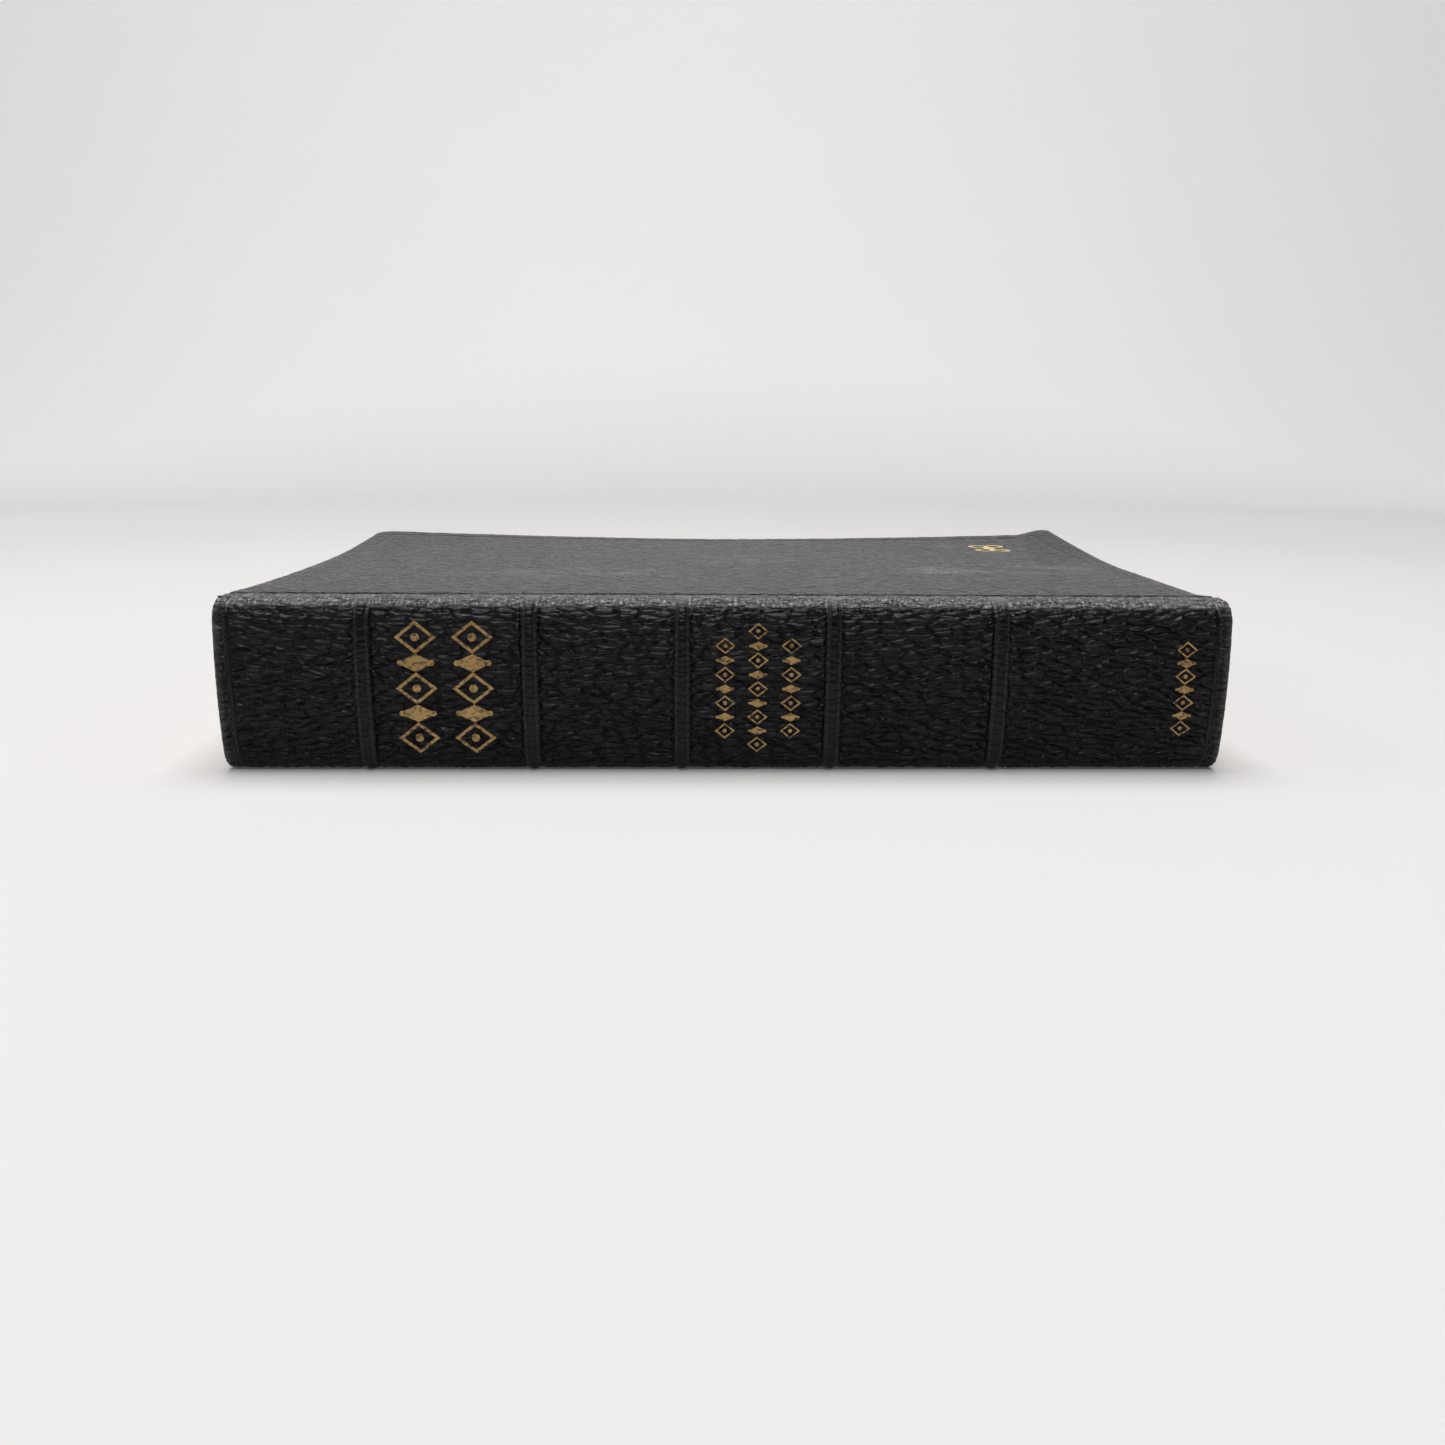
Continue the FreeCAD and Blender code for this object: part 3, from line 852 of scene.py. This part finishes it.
def worked_band(name, end, side):
    """A worked band behind the cap, over one half of the back, swelling at each turn of silk."""
    along = [i / ROWS_IN_TURN for i in range(SILK_TURNS * ROWS_IN_TURN + 1)]
    tube, spots = grid_sheet(name, range(SILK_SIDES + 1), along)
    mark_points(tube.data, "thread_turn", [float(int(wrap) % 2) for _, wrap in spots])
    length = TOP_RUN - 0.4
    for vertex, (step, wrap) in zip(tube.data.vertices, spots):
        place, outward = round_back(side * length * wrap / SILK_TURNS)
        radius = 0.80 + 0.28 * math.sqrt(abs(math.sin(math.pi * wrap)))
        angle = -side * 2 * math.pi * step / SILK_SIDES * math.copysign(1, end)
        centre = Vector((end, 0, 0)) + place - outward * SILK_DEPTH
        across = Vector((math.cos(angle) * radius, 0, 0))
        vertex.co = (centre + across + outward * math.sin(angle) * radius) * MM
    close_shell(tube, turn_outwards=True)
    tube.data.materials.append(SILK)
    return smooth(tube, 60)


for end_name, end in (("head", -SILK_END), ("tail", SILK_END)):
    for side_name, side in (("front", 1), ("back", -1)):
        silk = worked_band("%s_%s_band_silk" % (side_name, end_name), end, side)
        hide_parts("%s_%s_band" % (side_name, end_name))
        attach(silk, side_name + "_block")


# ---------------------------------------------------------------------------
# Gold tooling: plain stamps of a finisher's kit, laid on the leather
# ---------------------------------------------------------------------------
GOLD_LIFT = 0.05
GOLD_THICKNESS = 0.04
LONGEST_EDGE = 0.45


def stamp(x, run, sides, radius, stretch=1, turn=0, outline=0):
    """One flat stamp in the lay of the leather: a lozenge, dot or petal, filled or in outline."""
    clear_selection()
    bpy.ops.mesh.primitive_circle_add(vertices=sides, radius=radius, fill_type="NGON")
    mark = bpy.context.object
    bpy.ops.object.mode_set(mode="EDIT")
    if outline:
        bpy.ops.mesh.inset(thickness=outline, depth=0)
        bpy.ops.mesh.delete(type="FACE")
    bpy.ops.object.mode_set(mode="OBJECT")
    mark.scale = (stretch, 1, 1)
    mark.rotation_euler.z = math.radians(turn)
    mark.location = (x, run, 0)
    return freeze(mark)


def divide_long_edges(piece):
    """Divides the long edges of a flat stamp, so that it can follow the leather."""
    stamped = bmesh.from_edit_mesh(piece.data)
    edges = [e for e in stamped.edges if e.calc_length() > LONGEST_EDGE]
    if edges:
        bmesh.ops.subdivide_edges(stamped, edges=edges, cuts=1, use_grid_fill=True)
        bmesh.ops.triangulate(stamped, faces=[f for f in stamped.faces if len(f.verts) > 3])
    bmesh.update_edit_mesh(piece.data)


def gild(name, marks, carrier, finish):
    """Joins stamps and lays them as leaf on the grain of the leather that carries them."""
    clear_selection()
    for mark in marks:
        mark.select_set(True)
    bpy.context.view_layer.objects.active = marks[0]
    bpy.ops.object.join()
    gold = bpy.context.object
    gold.name = gold.data.name = name
    bpy.ops.object.mode_set(mode="EDIT")
    bpy.ops.mesh.select_all(action="SELECT")
    bpy.ops.mesh.quads_convert_to_tris()
    for _ in range(3):
        divide_long_edges(gold)
    bpy.ops.object.mode_set(mode="OBJECT")
    for vertex in gold.data.vertices:
        vertex.co = case_place(vertex.co.x, vertex.co.y, GOLD_LIFT)
    cling = gold.modifiers.new("cling", "SHRINKWRAP")
    cling.target = carrier
    cling.wrap_method = "NEAREST_SURFACEPOINT"
    cling.wrap_mode = "ABOVE_SURFACE"
    cling.offset = GOLD_LIFT * MM
    leaf = gold.modifiers.new("leaf", "SOLIDIFY")
    leaf.thickness = GOLD_THICKNESS * MM
    leaf.offset = 0
    finish_modifiers(gold)
    gold.data.materials.append(finish)
    return smooth(gold, 50)


def tool_row(name, x, count, pitch, size):
    """A row of stamps up the spine: lozenges with a dot in each, and a bar between two."""
    marks = []
    for number in range(count):
        run = pitch * (number - (count - 1) / 2)
        if number % 2 == 0:
            marks.append(stamp(x, run, 4, size, 1.25, outline=size * 0.17))
            marks.append(stamp(x, run, 12, size * 0.26))
        else:
            marks.append(stamp(x, run, 4, size * 0.55, 2.1))
            marks += [stamp(x + away * size * 0.95, run, 10, size * 0.18) for away in (-1, 1)]
    gold = gild(name, marks, spine_skin, GOLD)
    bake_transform(gold)


tool_row("gold_row_title_1", -64.0, 5, 5.3, 3.4)
tool_row("gold_row_title_2", -52.4, 5, 5.3, 3.4)
tool_row("gold_row_middle_1", -0.6, 7, 3, 1.7)
tool_row("gold_row_middle_2", 6.2, 9, 3, 1.7)
tool_row("gold_row_middle_3", 13.1, 7, 3, 1.7)
tool_row("gold_row_tail", 95.6, 7, 2.8, 1.75)

ROSETTE_X = 81
ROSETTE_RUN = TOP_RUN + 108
rosette = []
for petal in range(4):
    angle = math.pi / 2 * petal + math.pi / 4
    rosette.append(stamp(ROSETTE_X + 3.1 * math.cos(angle), ROSETTE_RUN + 5.8 * math.sin(angle),
                         14, 2.7, 1.25, math.degrees(angle), outline=1.1))
rosette.append(stamp(ROSETTE_X, ROSETTE_RUN, 12, 1.7))
gold_rosette = gild("gold_rosette", rosette, front_skin, BRIGHT_GOLD)
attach(gold_rosette, "front_cover")


# ---------------------------------------------------------------------------
# CAD pieces whose shape is right get their finish
# ---------------------------------------------------------------------------
finishes = {
    "bible_paper": PAGES,
    "endpaper": ENDPAPER,
    "board": BOARD,
    "leather_core": band_core_leather(),
    "lining_paper": brown_lining_paper(),
    "mull_cloth": woven("open_mull", (0.35, 0.31, 0.24), (0.66, 0.61, 0.50), 1.0, 0.12),
    "linen_thread": woven("waxed_linen_thread", (0.42, 0.36, 0.26), (0.68, 0.61, 0.48), 0.25, 0.06),
    "black_leather": LEATHER,
    "endband_silk": SILK,
}
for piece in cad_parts.values():
    materials = piece.data.materials
    for index, material in enumerate(materials):
        slot_name = material.name.split(".")[0]
        if slot_name in finishes:
            materials[index] = finishes[slot_name]


# ---------------------------------------------------------------------------
# Floor, light and camera, in metres
# ---------------------------------------------------------------------------
FLOOR_SIZE = (12, 3.6, 1)
SWEEP_Y = 0.9
SWEEP_RADIUS = 0.6
BACKDROP_HEIGHT = 2.2


def pale_floor():
    """A sheet of white paper that sweeps up behind the book and glows more away from it."""
    clear_selection()
    bpy.ops.mesh.primitive_plane_add(size=1, location=(0, SWEEP_Y - FLOOR_SIZE[1] / 2, 0))
    floor = bpy.context.object
    floor.name = "pale_floor"
    floor.scale = FLOOR_SIZE
    freeze(floor)
    bpy.ops.object.mode_set(mode="EDIT")
    bpy.ops.mesh.select_all(action="DESELECT")
    sweep = bmesh.from_edit_mesh(floor.data)
    for edge in sweep.edges:
        edge.select = all(v.co.y > 0.5 for v in edge.verts)
    sweep.select_flush(True)
    bmesh.update_edit_mesh(floor.data)
    bpy.ops.mesh.spin(steps=20, angle=math.radians(-90), center=(0, SWEEP_Y, SWEEP_RADIUS),
                      axis=(1, 0, 0))
    bpy.ops.mesh.extrude_region_move(
        TRANSFORM_OT_translate={"value": (0, 0, BACKDROP_HEIGHT)})
    bpy.ops.object.mode_set(mode="OBJECT")
    smooth(floor, 60)
    material, tree, shader = new_material(
        "pale_paper", (0.69, 0.675, 0.67), 0.9,
        Specular_IOR_Level=0.1, Emission_Color=(0.95, 0.93, 0.94, 1))
    tone = noisy(tree, object_place(tree, (1, 1, 1)), 3.0, 3.0)
    seen = add(tree, "ShaderNodeLightPath").outputs
    rays = math_node(tree, "MAXIMUM", seen["Is Camera Ray"], seen["Is Glossy Ray"])
    rays = math_node(tree, "MAXIMUM", rays, seen["Is Transmission Ray"])
    quarter_place = object_place(tree, (0.25, 0.25, 0.25))
    away = add(tree, "ShaderNodeVectorMath", {0: quarter_place}, operation="LENGTH")
    glow = ramp(tree, away.outputs["Value"],
                (0.15, 0.05), (0.24, 0.13), (0.33, 0.32), (0.60, 0.43), (0.95, 0.66))
    lead_in(tree, shader, Base_Color=mix(tree, tone, (0.675, 0.66, 0.655), (0.705, 0.695, 0.685)),
            Emission_Strength=times(tree, rays, glow))
    floor.data.materials.append(material)


def soft_lamp(name, place, aim, size, power):
    clear_selection()
    bpy.ops.object.light_add(type="AREA", location=place)
    lamp = bpy.context.object
    lamp.name = name
    lamp.data.shape = "RECTANGLE"
    lamp.data.size, lamp.data.size_y = size
    lamp.data.energy = power
    lamp.rotation_euler = (Vector(aim) - Vector(place)).to_track_quat("-Z", "Y").to_euler()


def soft_room(seen_light, room_light):
    """A pale world: room_light on everything, and seen_light more where the camera sees it."""
    world = bpy.data.worlds.new("soft_room")
    bpy.context.scene.world = world
    world.use_nodes = True
    tree = world.node_tree
    room = tree.nodes["Background"]
    room.inputs["Color"].default_value = (0.93, 0.94, 1.0, 1)
    glance = add(tree, "ShaderNodeLightPath").outputs["Is Camera Ray"]
    strength = add(tree, "ShaderNodeMath", {0: glance, 1: seen_light, 2: room_light},
                   operation="MULTIPLY_ADD").outputs[0]
    lead_in(tree, room, Strength=strength)


def turned(degrees, axis):
    return Matrix.Rotation(math.radians(degrees), 4, axis)


pale_floor()
soft_lamp("overhead_softbox", (0.0, 0.17, 1.5), (0, 0, 0), (1.05, 0.85), 20)
soft_lamp("front_softbox", (-0.05, -0.80, 1.15), (0, -0.07, 0.02), (0.5, 0.3), 5.2)
soft_lamp("left_softbox", (-1.3, 0.1, 0.8), (0, 0, 0.02), (0.9, 0.9), 3)
soft_room(0.65, 0.13)

CAMERA_PLACE = (-0.0084, -0.31615, 0.0705)
CAMERA_HEADING = -1.71
CAMERA_DIP = 13.62
CAMERA_LEAN = 0.46
camera = bpy.data.objects.new("camera", bpy.data.cameras.new("camera"))
bpy.context.scene.collection.objects.link(camera)
camera.data.sensor_width = 36
camera.data.lens = 30.195
camera.data.clip_start = 0.01
camera.matrix_world = (Matrix.Translation(CAMERA_PLACE) @ turned(CAMERA_HEADING, "Z")
                       @ turned(90 - CAMERA_DIP, "X") @ turned(CAMERA_LEAN, "Z"))
bpy.context.scene.camera = camera
bpy.context.scene.view_settings.view_transform = "Standard"
